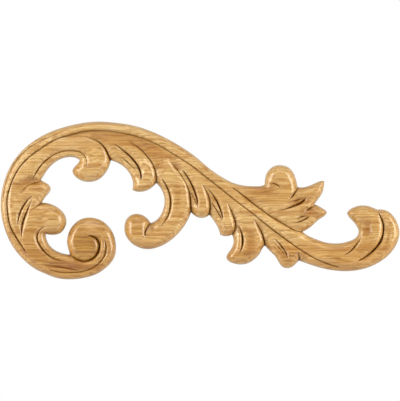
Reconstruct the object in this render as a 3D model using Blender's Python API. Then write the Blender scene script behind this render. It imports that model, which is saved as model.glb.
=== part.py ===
"""Carved wooden applique: one scrolled acanthus branch, flat at the back, in low relief in front.

It hangs upright on a wall or a door. X runs along its length, Z is up, the flat back lies on the
plane Y = 0 and the carving faces -Y. The outline and the cuts are drawn on a grid of squares, x
to the right and z up from the middle of the piece. Depths are measured from the board's face.
"""

import bmesh
import bpy
import numpy as np
from mathutils import Vector
from mathutils.geometry import delaunay_2d_cdt

# The board, in metres
LENGTH = 0.250
DEPTH = 0.012
THINNEST = 0.0015

# How far the carving lies below the front of the board: at its edge, and on its face
EDGE_DROP = 0.0072
FACE_DROP = 0.0022

# The rounded edge's width, and the crown that rises inwards from every edge and cut
EDGE_ROUND = 0.0050
CROWN = 0.0010
CROWN_REACH = 0.0060

# A full cut: the V groove, whose narrowest width is a share of the full one, and how far the wood
# falls to it over a steep and over a gentle side. A side slopes evenly for the first BEVEL of its
# width, and levels out over the rest. At the outline the wood falls by the share EDGE_FALL of that
CUT_DEPTH = 0.0012
CUT_HALF_WIDTH = 0.0008
NARROWEST = 0.35
FALL = 0.0012
STEEP_WIDTH = 0.0026
GENTLE_WIDTH = 0.0070
BEVEL = 0.45
EDGE_FALL = 0.4

# The places along a cut, as shares of its run, where its three depths hold
DEPTH_PLACES = (0.17, 0.5, 0.83)

# The length over which a groove, and the fall of the wood to it, run out at an open end
CUT_TAPER = 0.0040
TAPER = 0.0110

# The drawing grid: how many squares the piece is long, and the size of one
SQUARES_LONG = 399.4
SQUARE = LENGTH / SQUARES_LONG

# How finely the shape is cut into faces, in metres
OUTLINE_PITCH = 0.0023
CUT_PITCH = 0.0024
FIELD_PITCH = 0.0029
SAMPLE_PITCH = 0.0008

# Rows of points along the rounded edge: the distance in as a share of its width, and the least
# gap between points as a share of that distance. The gaps beside cuts and in the field likewise
EDGE_ROWS = ((0.06, 1.0), (0.2, 0.9), (0.45, 0.7), (0.8, 0.5))
ROW_GAP = 0.7
FIELD_GAP = 0.6

# A row keeps this share of its distance clear of the outline: a row along the edge, one by a cut
RIM_CLEAR = 0.96
CUT_CLEAR = 0.5

# A cut that ends within this share of OUTLINE_PITCH of the outline ends on it
SNAP = 0.3

# Points of a curve worked out between two drawn ones, and stretches measured at a time
CURVE_STEPS = 24
BLOCK = 10

# Points nearer together than this are one, and a crease sharper than this angle shows as one
MERGE = 1e-7
CREASE_ANGLE = 0.6

# The outline, clockwise seen from the front, as smooth stretches that meet at corners.
OUTLINE = {
    "scroll and back": [
        (-130.4, -54.2), (-131.9, -48.2), (-133.2, -42.0), (-132.6, -36.0), (-130.6, -30.2),
        (-127.4, -25.2), (-123.2, -21.0), (-117.8, -18.1), (-112.0, -17.0), (-104.9, -17.7),
        (-98.0, -20.4), (-91.7, -25.8), (-87.2, -32.4), (-84.9, -39.6), (-84.1, -47.8),
        (-85.5, -56.0), (-89.2, -62.4), (-94.9, -68.0), (-102.3, -73.1), (-110.5, -76.2),
        (-120.4, -78.3), (-131.0, -79.0), (-142.7, -77.8), (-153.9, -73.8), (-164.7, -68.7),
        (-174.2, -61.6), (-182.4, -53.0), (-189.2, -43.2), (-194.2, -32.4), (-197.6, -21.0),
        (-199.5, -9.0), (-199.3, 3.0), (-197.3, 14.7), (-193.6, 26.2), (-188.3, 36.9),
        (-181.4, 46.4), (-172.8, 54.8), (-163.0, 61.9), (-151.5, 68.0), (-138.5, 72.8),
        (-121.0, 77.1), (-103.5, 79.0), (-85.5, 78.0), (-68.0, 75.4), (-51.0, 70.2),
        (-34.5, 62.8), (-19.1, 54.0), (-4.3, 43.8), (9.3, 32.2), (24.2, 22.2),
        (34.9, 17.1), (46.6, 14.7), (56.0, 14.3), (61.0, 14.6), (64.7, 16.0),
    ],
    "flower ball": [
        (64.7, 16.0), (65.4, 23.0), (67.4, 28.4), (70.9, 32.4), (75.9, 35.0),
        (81.9, 35.3), (87.7, 33.6), (92.2, 29.6), (95.0, 24.4), (96.8, 18.4), (97.7, 13.7),
    ],
    "upper petal, top": [
        (97.7, 13.7), (101.0, 13.2), (106.0, 13.8), (112.0, 15.9), (118.0, 18.6), (122.0, 19.7),
        (124.4, 19.4),
    ],
    "upper petal, right": [
        (124.4, 19.4), (124.2, 15.2), (123.0, 9.6), (120.9, 4.9), (117.6, 0.5), (114.6, -3.8),
    ],
    "lower petal, top": [
        (114.6, -3.8), (118.2, -5.2), (122.2, -7.5), (125.6, -9.8), (127.1, -12.0),
    ],
    "lower petal, bottom": [
        (127.1, -12.0), (124.6, -15.4), (119.3, -18.9), (114.8, -22.9), (109.6, -27.4), (102.6, -31.3),
    ],
    "hook, inside": [
        (102.6, -31.3), (109.0, -35.6), (116.3, -38.7), (124.8, -41.6), (133.6, -42.9),
        (142.8, -42.4), (150.4, -40.3), (156.4, -36.8), (158.9, -31.5), (157.1, -25.9),
        (153.0, -20.6), (149.2, -16.4), (147.2, -12.7),
    ],
    "hook, small leaf": [
        (147.2, -12.7), (149.6, -9.4), (153.6, -7.0), (158.4, -5.4), (163.8, -4.9),
        (169.6, -5.8), (174.6, -7.8), (178.0, -9.1),
    ],
    "hook and foot": [
        (178.0, -9.1), (182.4, -9.0), (187.0, -10.2), (191.8, -13.6), (195.5, -18.3),
        (198.3, -24.5), (199.7, -31.0), (198.9, -38.0), (196.2, -44.8), (192.0, -51.1),
        (185.8, -57.4), (178.3, -62.5), (170.2, -66.4), (160.5, -69.3), (149.8, -70.7),
        (137.8, -70.5), (126.0, -68.7), (112.0, -64.8), (99.2, -60.2),
    ],
    "fifth leaf": [
        (99.2, -60.2), (97.0, -62.2), (93.4, -65.6), (88.4, -67.7), (83.2, -66.8), (79.6, -63.0),
        (76.4, -57.4), (71.6, -52.2), (65.0, -45.2),
    ],
    "fourth leaf": [
        (65.0, -45.2), (62.6, -48.0), (59.9, -53.0), (54.6, -58.8), (47.9, -62.9),
        (40.4, -64.1), (33.2, -62.9), (28.4, -60.4), (26.3, -57.4),
    ],
    "fourth leaf, inside": [
        (26.3, -57.4), (27.3, -54.0), (30.9, -48.8), (33.2, -43.4), (33.3, -38.0), (31.9, -34.2),
    ],
    "third leaf, end": [
        (31.9, -34.2), (28.8, -35.5), (24.6, -35.7), (20.2, -34.2),
    ],
    "third leaf, left": [
        (20.2, -34.2), (18.6, -28.8), (15.6, -23.0), (12.1, -17.9), (9.3, -14.5),
    ],
    "second leaf, end": [
        (9.3, -14.5), (5.4, -16.9), (0.8, -17.5), (-3.9, -16.1), (-8.9, -11.8),
    ],
    "low curl, outside": [
        (-8.9, -11.8), (-12.4, -20.0), (-17.4, -27.9), (-24.6, -35.9), (-33.1, -42.5),
        (-42.8, -47.1), (-52.7, -48.8), (-62.2, -46.6), (-70.3, -41.0), (-75.0, -33.0),
        (-75.7, -25.2), (-73.2, -18.2), (-67.4, -13.9), (-60.6, -13.6), (-54.6, -16.4),
        (-49.6, -22.4),
    ],
    "low curl, inside": [
        (-49.6, -22.4), (-45.8, -20.9), (-40.6, -16.3), (-37.2, -9.6), (-35.7, -2.4),
        (-36.2, 4.8), (-38.9, 11.4), (-43.8, 17.4),
    ],
    "first leaf, end": [
        (-43.8, 17.4), (-47.6, 13.4), (-52.5, 10.3), (-58.3, 8.8), (-64.3, 9.1), (-68.0, 10.8),
    ],
    "first leaf, left": [
        (-68.0, 10.8), (-67.1, 17.0), (-69.0, 24.2), (-73.1, 30.6), (-79.4, 35.9), (-89.4, 40.2),
    ],
    "top curl": [
        (-89.4, 40.2), (-91.2, 33.6), (-94.6, 27.6), (-100.0, 22.0), (-107.0, 19.0),
        (-114.6, 18.8), (-121.6, 21.4), (-126.4, 25.9), (-127.8, 30.0),
    ],
    "top curl, inside": [
        (-127.8, 30.0), (-125.9, 33.4), (-122.6, 36.8), (-120.6, 40.4),
    ],
    "scroll, inside top": [
        (-120.6, 40.4), (-124.8, 42.8), (-130.6, 43.5), (-138.2, 42.0), (-145.8, 37.8),
        (-152.4, 31.2), (-156.8, 24.6), (-159.4, 20.4),
    ],
    "tongue, top": [
        (-159.4, 20.4), (-155.6, 18.4), (-151.6, 15.8), (-149.4, 11.6),
    ],
    "tongue, bottom": [
        (-149.4, 11.6), (-150.9, 8.4), (-155.0, 3.2), (-158.4, -2.2),
    ],
    "small curl": [
        (-158.4, -2.2), (-152.6, -2.6), (-146.4, -4.7), (-140.4, -8.5), (-135.7, -14.0),
        (-133.8, -21.0), (-135.6, -27.6), (-139.9, -32.7), (-146.0, -34.4), (-154.4, -33.5),
    ],
    "scroll, inside bottom": [
        (-154.4, -33.5), (-153.6, -39.2), (-150.6, -45.0), (-145.4, -49.6), (-138.2, -52.7),
        (-130.4, -54.2),
    ],
}

# The cuts between the leaves, as smooth curves. Of each: its depth at the start, the middle and the
# end of its run, as shares of CUT_DEPTH; its fall, as a share of FALL; the side on which the wood
# falls to it steeply ("left" or "right" of its run, or "both"); which ends run out to nothing; and
# its points.
CUTS = {
    "main": ((0.65, 0.45, 0.6), 0.5, "both", "both", [
        (-172.0, -54.0), (-178.4, -45.2), (-184.6, -35.6), (-189.8, -25.4), (-192.2, -13.0),
        (-192.9, 0.0), (-190.9, 10.6), (-187.0, 21.4), (-181.6, 31.4), (-174.2, 40.4),
        (-165.6, 47.6), (-156.0, 54.2), (-145.0, 60.8), (-130.0, 65.4), (-115.0, 69.0),
        (-100.0, 70.0), (-85.0, 68.7), (-70.0, 65.7), (-55.0, 61.2), (-40.0, 54.6), (-25.0, 45.3),
        (-10.0, 35.8), (5.0, 24.1), (20.0, 12.4), (35.0, 0.4), (50.0, -11.1), (65.0, -22.9),
        (80.0, -34.6), (95.0, -45.5), (110.0, -55.2), (125.0, -62.2), (143.0, -67.6),
    ]),
    "stem": ((0.6, 0.55, 0.55), 1.0, "right", "first", [
        (29.0, 14.4), (37.0, 9.6), (45.0, 3.4), (55.0, -4.5), (65.0, -12.0), (75.0, -18.8), (85.0, -24.6),
        (95.0, -30.1), (102.6, -31.3),
    ]),
    "top curl strip": ((0.65, 0.5, 0.4), 0.7, "both", "both", [
        (-168.7, 18.4), (-165.2, 25.5), (-160.3, 33.3), (-153.4, 40.6), (-144.0, 46.8),
        (-133.5, 49.7), (-122.5, 49.1), (-116.0, 45.5), (-113.0, 38.5), (-114.0, 31.0),
    ]),
    "top curl edge": ((0.35, 0.7, 1.0), 1.1, "right", "first", [
        (-118.0, 64.0), (-110.5, 62.5), (-104.0, 60.1), (-98.6, 56.3), (-94.0, 50.4),
        (-91.4, 44.6), (-89.4, 40.2),
    ]),
    "tongue edge": ((0.25, 0.3, 0.35), 0.9, "right", "first", [
        (-184.6, -0.6), (-181.0, 5.2), (-176.0, 11.0), (-170.2, 15.8), (-164.4, 17.4),
        (-159.4, 20.4),
    ]),
    "sliver one": ((0.5, 0.9, 0.5), 0.9, "both", "both", [
        (-164.2, 6.4), (-170.0, 2.6), (-175.0, -3.0), (-179.2, -10.4), (-181.6, -18.6),
        (-182.6, -28.0),
    ]),
    "sliver two": ((0.5, 0.9, 0.5), 0.9, "both", "both", [
        (-166.6, 2.6), (-170.4, -4.8), (-174.2, -13.6), (-177.2, -22.4), (-178.4, -31.4),
        (-177.8, -40.4),
    ]),
    "small curl edge": ((0.6, 0.35, 0.3), 0.9, "right", "last", [
        (-158.4, -2.2), (-163.4, -6.0), (-168.6, -9.8), (-173.0, -15.2),
    ]),
    "small curl strip": ((0.5, 0.8, 0.35), 0.8, "both", "both", [
        (-151.4, -27.4), (-155.4, -26.4), (-159.6, -29.0), (-162.4, -33.6), (-162.7, -39.0),
        (-160.2, -44.8), (-155.8, -50.8), (-149.6, -56.2), (-140.0, -60.0), (-129.0, -60.9),
    ]),
    "scroll disc": ((0.45, 0.75, 0.8), 1.2, "both", "last", [
        (-130.4, -54.2), (-126.0, -56.9), (-121.2, -59.7), (-115.0, -60.8), (-108.2, -58.6),
        (-103.2, -54.0), (-100.7, -47.6), (-101.4, -41.4), (-104.8, -37.2), (-109.6, -35.4),
        (-115.0, -34.8),
    ]),
    "scroll spiral": ((0.55, 0.5, 0.5), 0.5, "both", "both", [
        (-97.2, -36.6), (-94.4, -43.0), (-94.2, -50.2), (-96.8, -57.6), (-101.6, -63.2),
        (-108.6, -68.0), (-117.5, -71.0), (-127.0, -72.0), (-137.0, -72.0), (-146.0, -70.4),
        (-154.0, -67.4),
    ]),
    "scroll line": ((0.5, 0.5, 0.45), 0.5, "both", "both", [
        (-118.0, -70.2), (-126.0, -69.2), (-137.0, -67.0), (-149.0, -65.4), (-160.4, -62.8),
    ]),
    "leaf one middle": ((0.5, 1.0, 1.0), 1.1, "left", "both", [
        (-89.0, 58.0), (-80.0, 52.5), (-72.5, 46.6), (-66.0, 40.0), (-61.6, 33.6), (-59.3, 26.8),
        (-59.4, 17.6),
    ]),
    "leaf one fine": ((0.3, 0.6, 0.4), 0.7, "both", "both", [
        (-85.5, 46.0), (-79.0, 43.3), (-72.0, 38.0), (-66.0, 32.2), (-62.0, 26.4),
    ]),
    "leaf one edge": ((0.45, 0.6, 0.65), 1.1, "right", "first", [
        (-73.5, 60.2), (-66.0, 55.8), (-58.4, 50.0), (-52.0, 42.8), (-46.8, 35.0), (-44.4, 27.0),
        (-43.8, 17.4),
    ]),
    "low curl strip": ((0.75, 0.65, 0.5), 0.9, "both", "both", [
        (-39.6, 23.6), (-34.4, 16.2), (-31.0, 8.4), (-29.5, 0.0), (-30.0, -8.4), (-32.8, -16.8),
        (-37.0, -23.0), (-41.6, -28.2),
    ]),
    "low curl neck": ((0.55, 0.85, 0.7), 1.1, "right", "last", [
        (-49.6, -22.4), (-52.6, -26.6), (-54.7, -31.0), (-53.1, -39.0),
    ]),
    "low curl edge": ((0.25, 0.4, 0.85), 1.2, "right", "first", [
        (-34.0, 44.2), (-27.2, 36.0), (-20.8, 28.0), (-15.0, 18.6), (-11.0, 8.6), (-9.6, -1.0),
        (-8.9, -11.8),
    ]),
    "leaf two first": ((0.75, 0.9, 0.85), 0.9, "both", "both", [
        (-19.0, 32.6), (-13.4, 24.9), (-8.4, 16.2), (-4.8, 7.4), (-2.4, -1.2), (-1.5, -6.6),
    ]),
    "leaf two second": ((0.5, 0.5, 0.65), 0.8, "both", "both", [
        (-10.8, 11.6), (-7.2, 4.2), (-3.8, -2.2), (-1.1, -8.8),
    ]),
    "leaf two edge": ((0.3, 0.5, 0.8), 1.2, "right", "first", [
        (0.0, 19.6), (4.6, 12.2), (8.3, 4.4), (9.9, -4.6), (9.3, -14.5),
    ]),
    "leaf three first": ((0.5, 0.9, 0.75), 0.9, "both", "both", [
        (5.8, 14.0), (11.2, 8.0), (16.0, 0.6), (20.0, -8.0), (22.7, -17.0), (23.4, -21.6),
    ]),
    "leaf three second": ((0.6, 0.6, 0.7), 0.8, "both", "both", [
        (10.6, 0.4), (13.6, -4.9), (18.4, -12.8), (23.6, -22.4),
    ]),
    "leaf three edge": ((0.3, 0.7, 0.6), 1.2, "right", "first", [
        (24.8, 0.8), (29.2, -6.0), (33.0, -14.6), (35.5, -25.4), (31.9, -34.2),
    ]),
    "leaf four": ((0.65, 0.95, 0.55), 1.1, "both", "both", [
        (37.2, -23.2), (41.0, -31.0), (42.7, -40.0), (41.2, -48.6), (37.0, -55.2),
    ]),
    "leaf four edge": ((0.25, 0.6, 0.85), 1.2, "right", "first", [
        (51.4, -15.6), (54.6, -20.0), (59.0, -27.0), (62.6, -34.8), (65.0, -45.2),
    ]),
    "leaf five first": ((0.4, 0.75, 0.6), 0.6, "both", "both", [
        (71.0, -35.4), (77.2, -41.2), (82.6, -47.2), (86.6, -54.0), (87.8, -60.0),
    ]),
    "leaf five second": ((0.3, 0.5, 0.5), 0.7, "right", "both", [
        (69.6, -40.2), (76.3, -44.9), (81.8, -50.3), (86.2, -56.4),
    ]),
    "leaf five edge": ((0.1, 0.6, 0.85), 1.1, "right", "first", [
        (95.6, -48.6), (98.2, -53.0), (99.2, -60.2),
    ]),
    "hook outer": ((0.8, 1.0, 0.65), 1.2, "right", "both", [
        (178.0, -9.1), (180.0, -15.2), (182.8, -22.4), (183.4, -30.2), (181.4, -38.8),
        (176.6, -46.4), (169.6, -53.2), (162.2, -58.4), (155.0, -61.4),
    ]),
    "hook inner": ((0.45, 0.75, 0.55), 0.6, "both", "both", [
        (162.4, -34.0), (159.6, -39.6), (155.4, -45.4), (150.6, -50.5), (140.6, -55.8),
    ]),
    "ball curl": ((0.4, 0.6, 0.6), 0.9, "left", "both", [
        (66.8, 16.3), (72.4, 17.2), (77.6, 15.2), (82.0, 9.6),
    ]),
    "ball edge": ((0.5, 0.85, 0.45), 1.2, "right", "last", [
        (98.1, 13.4), (94.6, 7.5), (90.8, 2.5), (86.7, -0.4),
    ]),
    "upper petal": ((0.5, 0.7, 1.0), 0.8, "both", "both", [
        (75.0, -10.0), (84.0, -8.9), (92.6, -6.0), (100.4, -2.6), (107.4, 4.0),
    ]),
    "upper petal fine": ((0.5, 0.7, 0.7), 0.8, "both", "both", [
        (88.6, -1.6), (95.6, -0.2), (103.6, 3.4),
    ]),
    "lower petal edge": ((0.3, 0.8, 0.5), 1.1, "left", "first", [
        (102.6, -13.0), (108.0, -9.2), (115.4, -4.7),
    ]),
    "lower petal": ((0.6, 0.75, 0.85), 0.8, "both", "both", [
        (92.0, -23.0), (100.2, -21.0), (106.8, -17.8), (111.0, -14.4),
    ]),
    "lower petal fine": ((0.45, 0.6, 0.7), 0.8, "both", "both", [
        (92.6, -19.6), (100.2, -16.8), (108.0, -14.4),
    ]),
}

# Low domes on the ends of the leaves: the middle and the radius in squares, the height in metres
SWELLS = {
    "top curl": (-109.0, 31.0, 15.0, 0.0012),
    "leaf one": (-54.5, 17.0, 11.0, 0.0006),
    "low curl": (-62.5, -30.0, 14.0, 0.0016),
    "leaf two": (2.0, -7.0, 9.0, 0.0006),
    "leaf three": (27.5, -26.0, 9.0, 0.0006),
    "leaf four": (49.0, -50.0, 14.0, 0.0008),
    "leaf five": (91.5, -57.0, 8.0, 0.0006),
    "flower ball": (81.0, 25.0, 14.0, 0.0012),
    "small curl": (-147.0, -18.0, 13.0, 0.0012),
    "scroll disc": (-115.0, -47.0, 14.0, 0.0006),
    "hook leaf": (164.0, -14.0, 13.0, 0.0008),
    "foot": (122.0, -52.0, 17.0, 0.0006),
}

# Wide shallow gouges: the depth in metres, the half width in squares, and the points
HOLLOWS = {
    "under the back": (0.0015, 9.0, [(-112.0, 66.0), (-96.0, 63.5), (-76.0, 61.5), (-58.0, 56.0),
                                     (-45.0, 46.0), (-40.0, 36.0), (-40.5, 24.0)]),
    "behind the top curl": (0.0008, 5.5, [(-142.0, 58.0), (-124.0, 64.0), (-104.0, 65.0),
                                          (-86.0, 58.0)]),
    "over the low curl": (0.0010, 5.5, [(-54.0, 56.0), (-38.0, 48.5), (-26.0, 39.0),
                                        (-14.0, 28.0)]),
    "tongue": (0.0012, 6.0, [(-191.0, 11.0), (-181.0, 15.5), (-171.0, 20.5), (-161.0, 15.5),
                             (-153.0, 10.0)]),
    "small curl": (0.0014, 6.5, [(-170.0, -27.0), (-159.0, -22.0), (-149.0, -24.5)]),
    "small curl rim": (0.0005, 3.0, [(-150.0, -3.5), (-141.0, -7.5), (-136.2, -15.0),
                                     (-137.4, -25.0)]),
    "top curl rim": (0.0006, 3.6, [(-122.0, 38.0), (-126.0, 30.0), (-120.5, 25.0),
                                   (-112.0, 22.0)]),
    "scroll rim": (0.0005, 3.2, [(-129.0, -46.0), (-129.5, -34.0), (-122.0, -22.5),
                                 (-110.0, -18.5)]),
    "scroll foot": (0.0012, 8.5, [(-156.0, -59.5), (-140.0, -64.5), (-124.0, -66.0),
                                  (-110.0, -64.0)]),
    "scroll top": (0.0008, 6.0, [(-126.0, -26.0), (-112.0, -21.0), (-98.0, -25.0),
                                 (-90.0, -34.0)]),
    "low curl": (0.0007, 5.0, [(-27.0, 26.0), (-22.5, 12.0), (-22.0, -4.0), (-28.0, -19.0)]),
    "low curl neck": (0.0014, 5.8, [(-57.0, -23.0), (-48.0, -28.5), (-37.0, -30.0)]),
    "leaf two": (0.0007, 3.0, [(-9.0, 10.0), (-4.6, 2.0), (-1.8, -6.0)]),
    "leaf four": (0.0012, 6.5, [(46.0, -20.0), (50.5, -33.0), (50.5, -46.0), (44.0, -57.0)]),
    "leaf four rim": (0.0014, 3.2, [(36.5, -45.0), (31.0, -50.5), (27.6, -56.0),
                                    (31.0, -61.0)]),
    "leaf four tip": (0.0011, 4.5, [(36.0, -60.0), (30.5, -57.5), (27.0, -53.0)]),
    "leaf five": (0.0014, 5.0, [(81.0, -48.0), (85.5, -56.0), (87.0, -64.0)]),
    "flower": (0.0013, 7.0, [(42.0, 12.0), (56.0, 8.5), (70.0, 9.5), (84.0, 9.0)]),
    "upper petal": (0.0018, 5.4, [(86.0, -4.0), (97.0, -1.5), (106.0, 1.0), (116.0, 6.0)]),
    "between the petals": (0.0018, 5.0, [(98.0, -11.0), (106.5, -9.5), (112.5, -11.5),
                                          (119.0, -14.5)]),
    "lower petal": (0.0011, 4.6, [(95.0, -19.0), (104.0, -16.5), (111.0, -13.5), (120.0, -10.0)]),
    "hook leaf": (0.0015, 6.5, [(161.0, -13.0), (166.5, -22.0), (167.0, -33.0), (161.0, -45.0)]),
    "hook back": (0.0008, 4.4, [(188.0, -16.0), (190.0, -27.0), (188.0, -39.0),
                                 (180.0, -52.0)]),
    "foot": (0.0006, 5.5, [(108.0, -62.0), (128.0, -66.0), (150.0, -66.5), (168.0, -62.0)]),
}


def run_length(line):
    """The length run along a line up to each of its points."""
    return np.concatenate([[0.0], np.cumsum(np.hypot(*np.diff(line, axis=0).T))])


def smooth_curve(drawn, pitch):
    """Points in metres at a near even pitch along a smooth curve through those of the drawing."""
    p = np.array(drawn, float) * SQUARE
    last = len(p) - 1
    span = np.diff(run_length(p))
    matrix = np.zeros((last + 1, last + 1))
    wanted = np.zeros((last + 1, 2))
    for i in range(1, last):
        matrix[i, i - 1:i + 2] = span[i - 1], 2.0 * (span[i - 1] + span[i]), span[i]
        wanted[i] = 6.0 * ((p[i + 1] - p[i]) / span[i] - (p[i] - p[i - 1]) / span[i - 1])
    matrix[0, :2] = 1.0, -1.0
    matrix[last, last - 1:] = -1.0, 1.0
    bend = np.linalg.solve(matrix, wanted)
    fine = []
    for i in range(last):
        u = np.linspace(0.0, 1.0, CURVE_STEPS, endpoint=False)[:, None]
        w = 1.0 - u
        curved = (w ** 3 - w) * bend[i] + (u ** 3 - u) * bend[i + 1]
        fine.append(w * p[i] + u * p[i + 1] + span[i] ** 2 / 6.0 * curved)
    fine = np.vstack(fine + [p[-1:]])
    run = run_length(fine)
    steps = max(1, int(round(run[-1] / pitch)))
    at = np.linspace(0.0, run[-1], steps + 1)
    return np.stack([np.interp(at, run, fine[:, k]) for k in (0, 1)], axis=1)


def outline_loop(pitch):
    """The outline as one closed loop of points, a point at every corner, the wood on its left."""
    loop = np.vstack([smooth_curve(drawn, pitch)[:-1] for drawn in OUTLINE.values()])
    return loop[::-1]


def ring(loop):
    """A closed loop with its first point again at its end."""
    return np.vstack([loop, loop[:1]])


def nearest(points, line, reach):
    """Of each point: how far the line is, on which side (left is +1) and how far along it.

    A point farther away than reach gets a distance of 1 m.
    """
    away = np.ones(len(points))
    side = np.zeros(len(points))
    along = np.zeros(len(points))
    step = np.diff(line, axis=0)
    run = run_length(line)
    for first in range(0, len(step), BLOCK):
        ends = line[first:first + BLOCK + 1]
        low, high = ends.min(axis=0) - reach, ends.max(axis=0) + reach
        close = np.flatnonzero(((points >= low) & (points <= high)).all(axis=1))
        if not len(close):
            continue
        v = step[first:first + BLOCK]
        size = np.hypot(*v.T)
        to = points[close][:, None, :] - ends[None, :-1]
        t = np.clip((to * v).sum(axis=2) / size ** 2, 0.0, 1.0)
        off = to - t[..., None] * v
        far = np.hypot(off[..., 0], off[..., 1])
        best = far.argmin(axis=1)
        row = np.arange(len(close))
        far = far[row, best]
        nearer = (far < away[close]) & (far < reach)
        turn = v[best, 0] * to[row, best, 1] - v[best, 1] * to[row, best, 0]
        kept = close[nearer]
        away[kept] = far[nearer]
        side[kept] = np.sign(turn)[nearer]
        along[kept] = (run[first + best] + t[row, best] * size[best])[nearer]
    return away, side, along


def eased(share):
    """0 to 1 with a soft start and a soft end."""
    s = np.clip(share, 0.0, 1.0)
    return s * s * (3.0 - 2.0 * s)


def sunk(along, total, ends, taper):
    """How fully a cut is sunk at each place: it runs out to nothing at its open ends."""
    full = np.ones_like(along)
    if ends in ("both", "first"):
        full = full * eased(along / taper)
    if ends in ("both", "last"):
        full = full * eased((total - along) / taper)
    return full


def bevel(share):
    """1 to 0: an even slope as far as BEVEL of the way, then a curve that levels out."""
    s = np.clip(share, 0.0, 1.0)
    past = np.maximum(s - BEVEL, 0.0)
    return 1.0 - 2.0 / (1.0 + BEVEL) * (s - past ** 2 / (2.0 * (1.0 - BEVEL)))


def domes(points):
    """How far the low domes raise the face."""
    raised = np.zeros(len(points))
    for x, z, radius, height in SWELLS.values():
        away = np.hypot(points[:, 0] - x * SQUARE, points[:, 1] - z * SQUARE)
        share = np.clip(away / (radius * SQUARE), 0.0, 1.0)
        raised += height * (1.0 - share ** 2) ** 2
    return raised


def gouges(points):
    """How far the wide shallow gouges lower the face."""
    lowered = np.zeros(len(points))
    for depth, half_width, drawn in HOLLOWS.values():
        line = smooth_curve(drawn, SAMPLE_PITCH)
        wide = half_width * SQUARE
        away, side, along = nearest(points, line, wide)
        share = np.clip(away / wide, 0.0, 1.0)
        full = sunk(along, run_length(line)[-1], "both", TAPER)
        lowered += depth * full * (1.0 - share ** 2) ** 2
    return lowered


def relief(points, outline):
    """The height of the carved face over the back at each point."""
    reach = max(CROWN_REACH, STEEP_WIDTH, GENTLE_WIDTH, EDGE_ROUND)
    rim = nearest(points, ring(outline), reach)[0]
    inward = np.clip(rim / EDGE_ROUND, 0.0, 1.0)
    rounding = np.sqrt(1.0 - (1.0 - inward) ** 2)
    arch = 1.0 - (1.0 - np.clip(rim / CROWN_REACH, 0.0, 1.0)) ** 2
    groove = np.zeros(len(points))
    fallen = np.zeros(len(points))
    for depth, fall, lean, ends, drawn in CUTS.values():
        line = smooth_curve(drawn, SAMPLE_PITCH)
        total = run_length(line)[-1]
        away, side, along = nearest(points, line, reach)
        full = sunk(along, total, ends, TAPER) * (away < reach)
        deep = sunk(along, total, ends, CUT_TAPER) * np.interp(along / total, DEPTH_PLACES, depth)
        half_width = CUT_HALF_WIDTH * (NARROWEST + (1.0 - NARROWEST) * deep)
        groove = np.maximum(groove, deep * (1.0 - np.clip(away / half_width, 0.0, 1.0)))
        steep = {"left": side > 0.0, "right": side < 0.0, "both": away < reach}[lean]
        width = np.where(steep, STEEP_WIDTH, GENTLE_WIDTH)
        fallen = np.maximum(fallen, full * fall * FALL * bevel(away / width))
        arch = arch * (1.0 - full * (1.0 - np.clip(away / CROWN_REACH, 0.0, 1.0)) ** 2)
    form = EDGE_DROP - FACE_DROP + CROWN * arch + domes(points) - gouges(points)
    near_edge = EDGE_FALL + (1.0 - EDGE_FALL) * rounding
    drop = EDGE_DROP - form * rounding + fallen * near_edge + CUT_DEPTH * groove
    return np.clip(DEPTH - drop, THINNEST, DEPTH)


def beside(line, distance):
    """A row of points at a distance to the left of a line."""
    along = np.gradient(line, axis=0)
    along = along / np.hypot(*along.T)[:, None]
    return line + distance * np.stack([-along[:, 1], along[:, 0]], axis=1)


def inside(points, outline):
    """Which points lie within the outline."""
    found = np.zeros(len(points), bool)
    for (ax, az), (bx, bz) in zip(outline, np.roll(outline, -1, axis=0)):
        if az == bz:
            continue
        crossed = (points[:, 1] > az) != (points[:, 1] > bz)
        found ^= crossed & (points[:, 0] < ax + (points[:, 1] - az) * (bx - ax) / (bz - az))
    return found


def spaced(points, kept, gap):
    """The points that stand at least a gap away from those kept and from one another."""
    cells = {}
    for x, z in kept:
        cells.setdefault((int(x // gap), int(z // gap)), []).append((x, z))
    chosen = []
    for x, z in points:
        i, j = int(x // gap), int(z // gap)
        around = [cells.get((i + u, j + v), ()) for u in (-1, 0, 1) for v in (-1, 0, 1)]
        if all((a - x) ** 2 + (b - z) ** 2 >= gap ** 2 for cell in around for a, b in cell):
            chosen.append((x, z))
            cells.setdefault((i, j), []).append((x, z))
    return chosen


def drawn_lines(outline):
    """The points of the outline and the cuts, and the edges between them, which faces follow."""
    points = [tuple(p) for p in outline]
    edges = [(i, (i + 1) % len(outline)) for i in range(len(outline))]
    for cut in CUTS.values():
        last = None
        for p in smooth_curve(cut[4], CUT_PITCH):
            gap = np.hypot(*(outline - p).T)
            if gap.min() < SNAP * OUTLINE_PITCH:
                index = int(gap.argmin())
            else:
                index = len(points)
                points.append(tuple(p))
            if last is not None and last != index:
                edges.append((last, index))
            last = index
    return points, edges


def edge_rows(outline, points):
    """Rows of points along the rounded edge."""
    rim = ring(outline)
    found = []
    for share, gap in EDGE_ROWS:
        distance = share * EDGE_ROUND
        row = beside(rim, distance)[:-1]
        clear = nearest(row, rim, 2.0 * distance)[0] > RIM_CLEAR * distance
        found += spaced(row[clear & inside(row, outline)], points + found, gap * distance)
    return found


def cut_rows(outline, points):
    """Rows of points along both sides of every cut."""
    found = []
    for distance in (CUT_HALF_WIDTH, 0.5 * STEEP_WIDTH, STEEP_WIDTH):
        lines = [smooth_curve(cut[4], CUT_PITCH) for cut in CUTS.values()]
        row = np.vstack([beside(line, sign * distance) for line in lines for sign in (1.0, -1.0)])
        clear = nearest(row, ring(outline), distance)[0] > CUT_CLEAR * distance
        found += spaced(row[clear & inside(row, outline)], points + found, ROW_GAP * distance)
    return found


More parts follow.
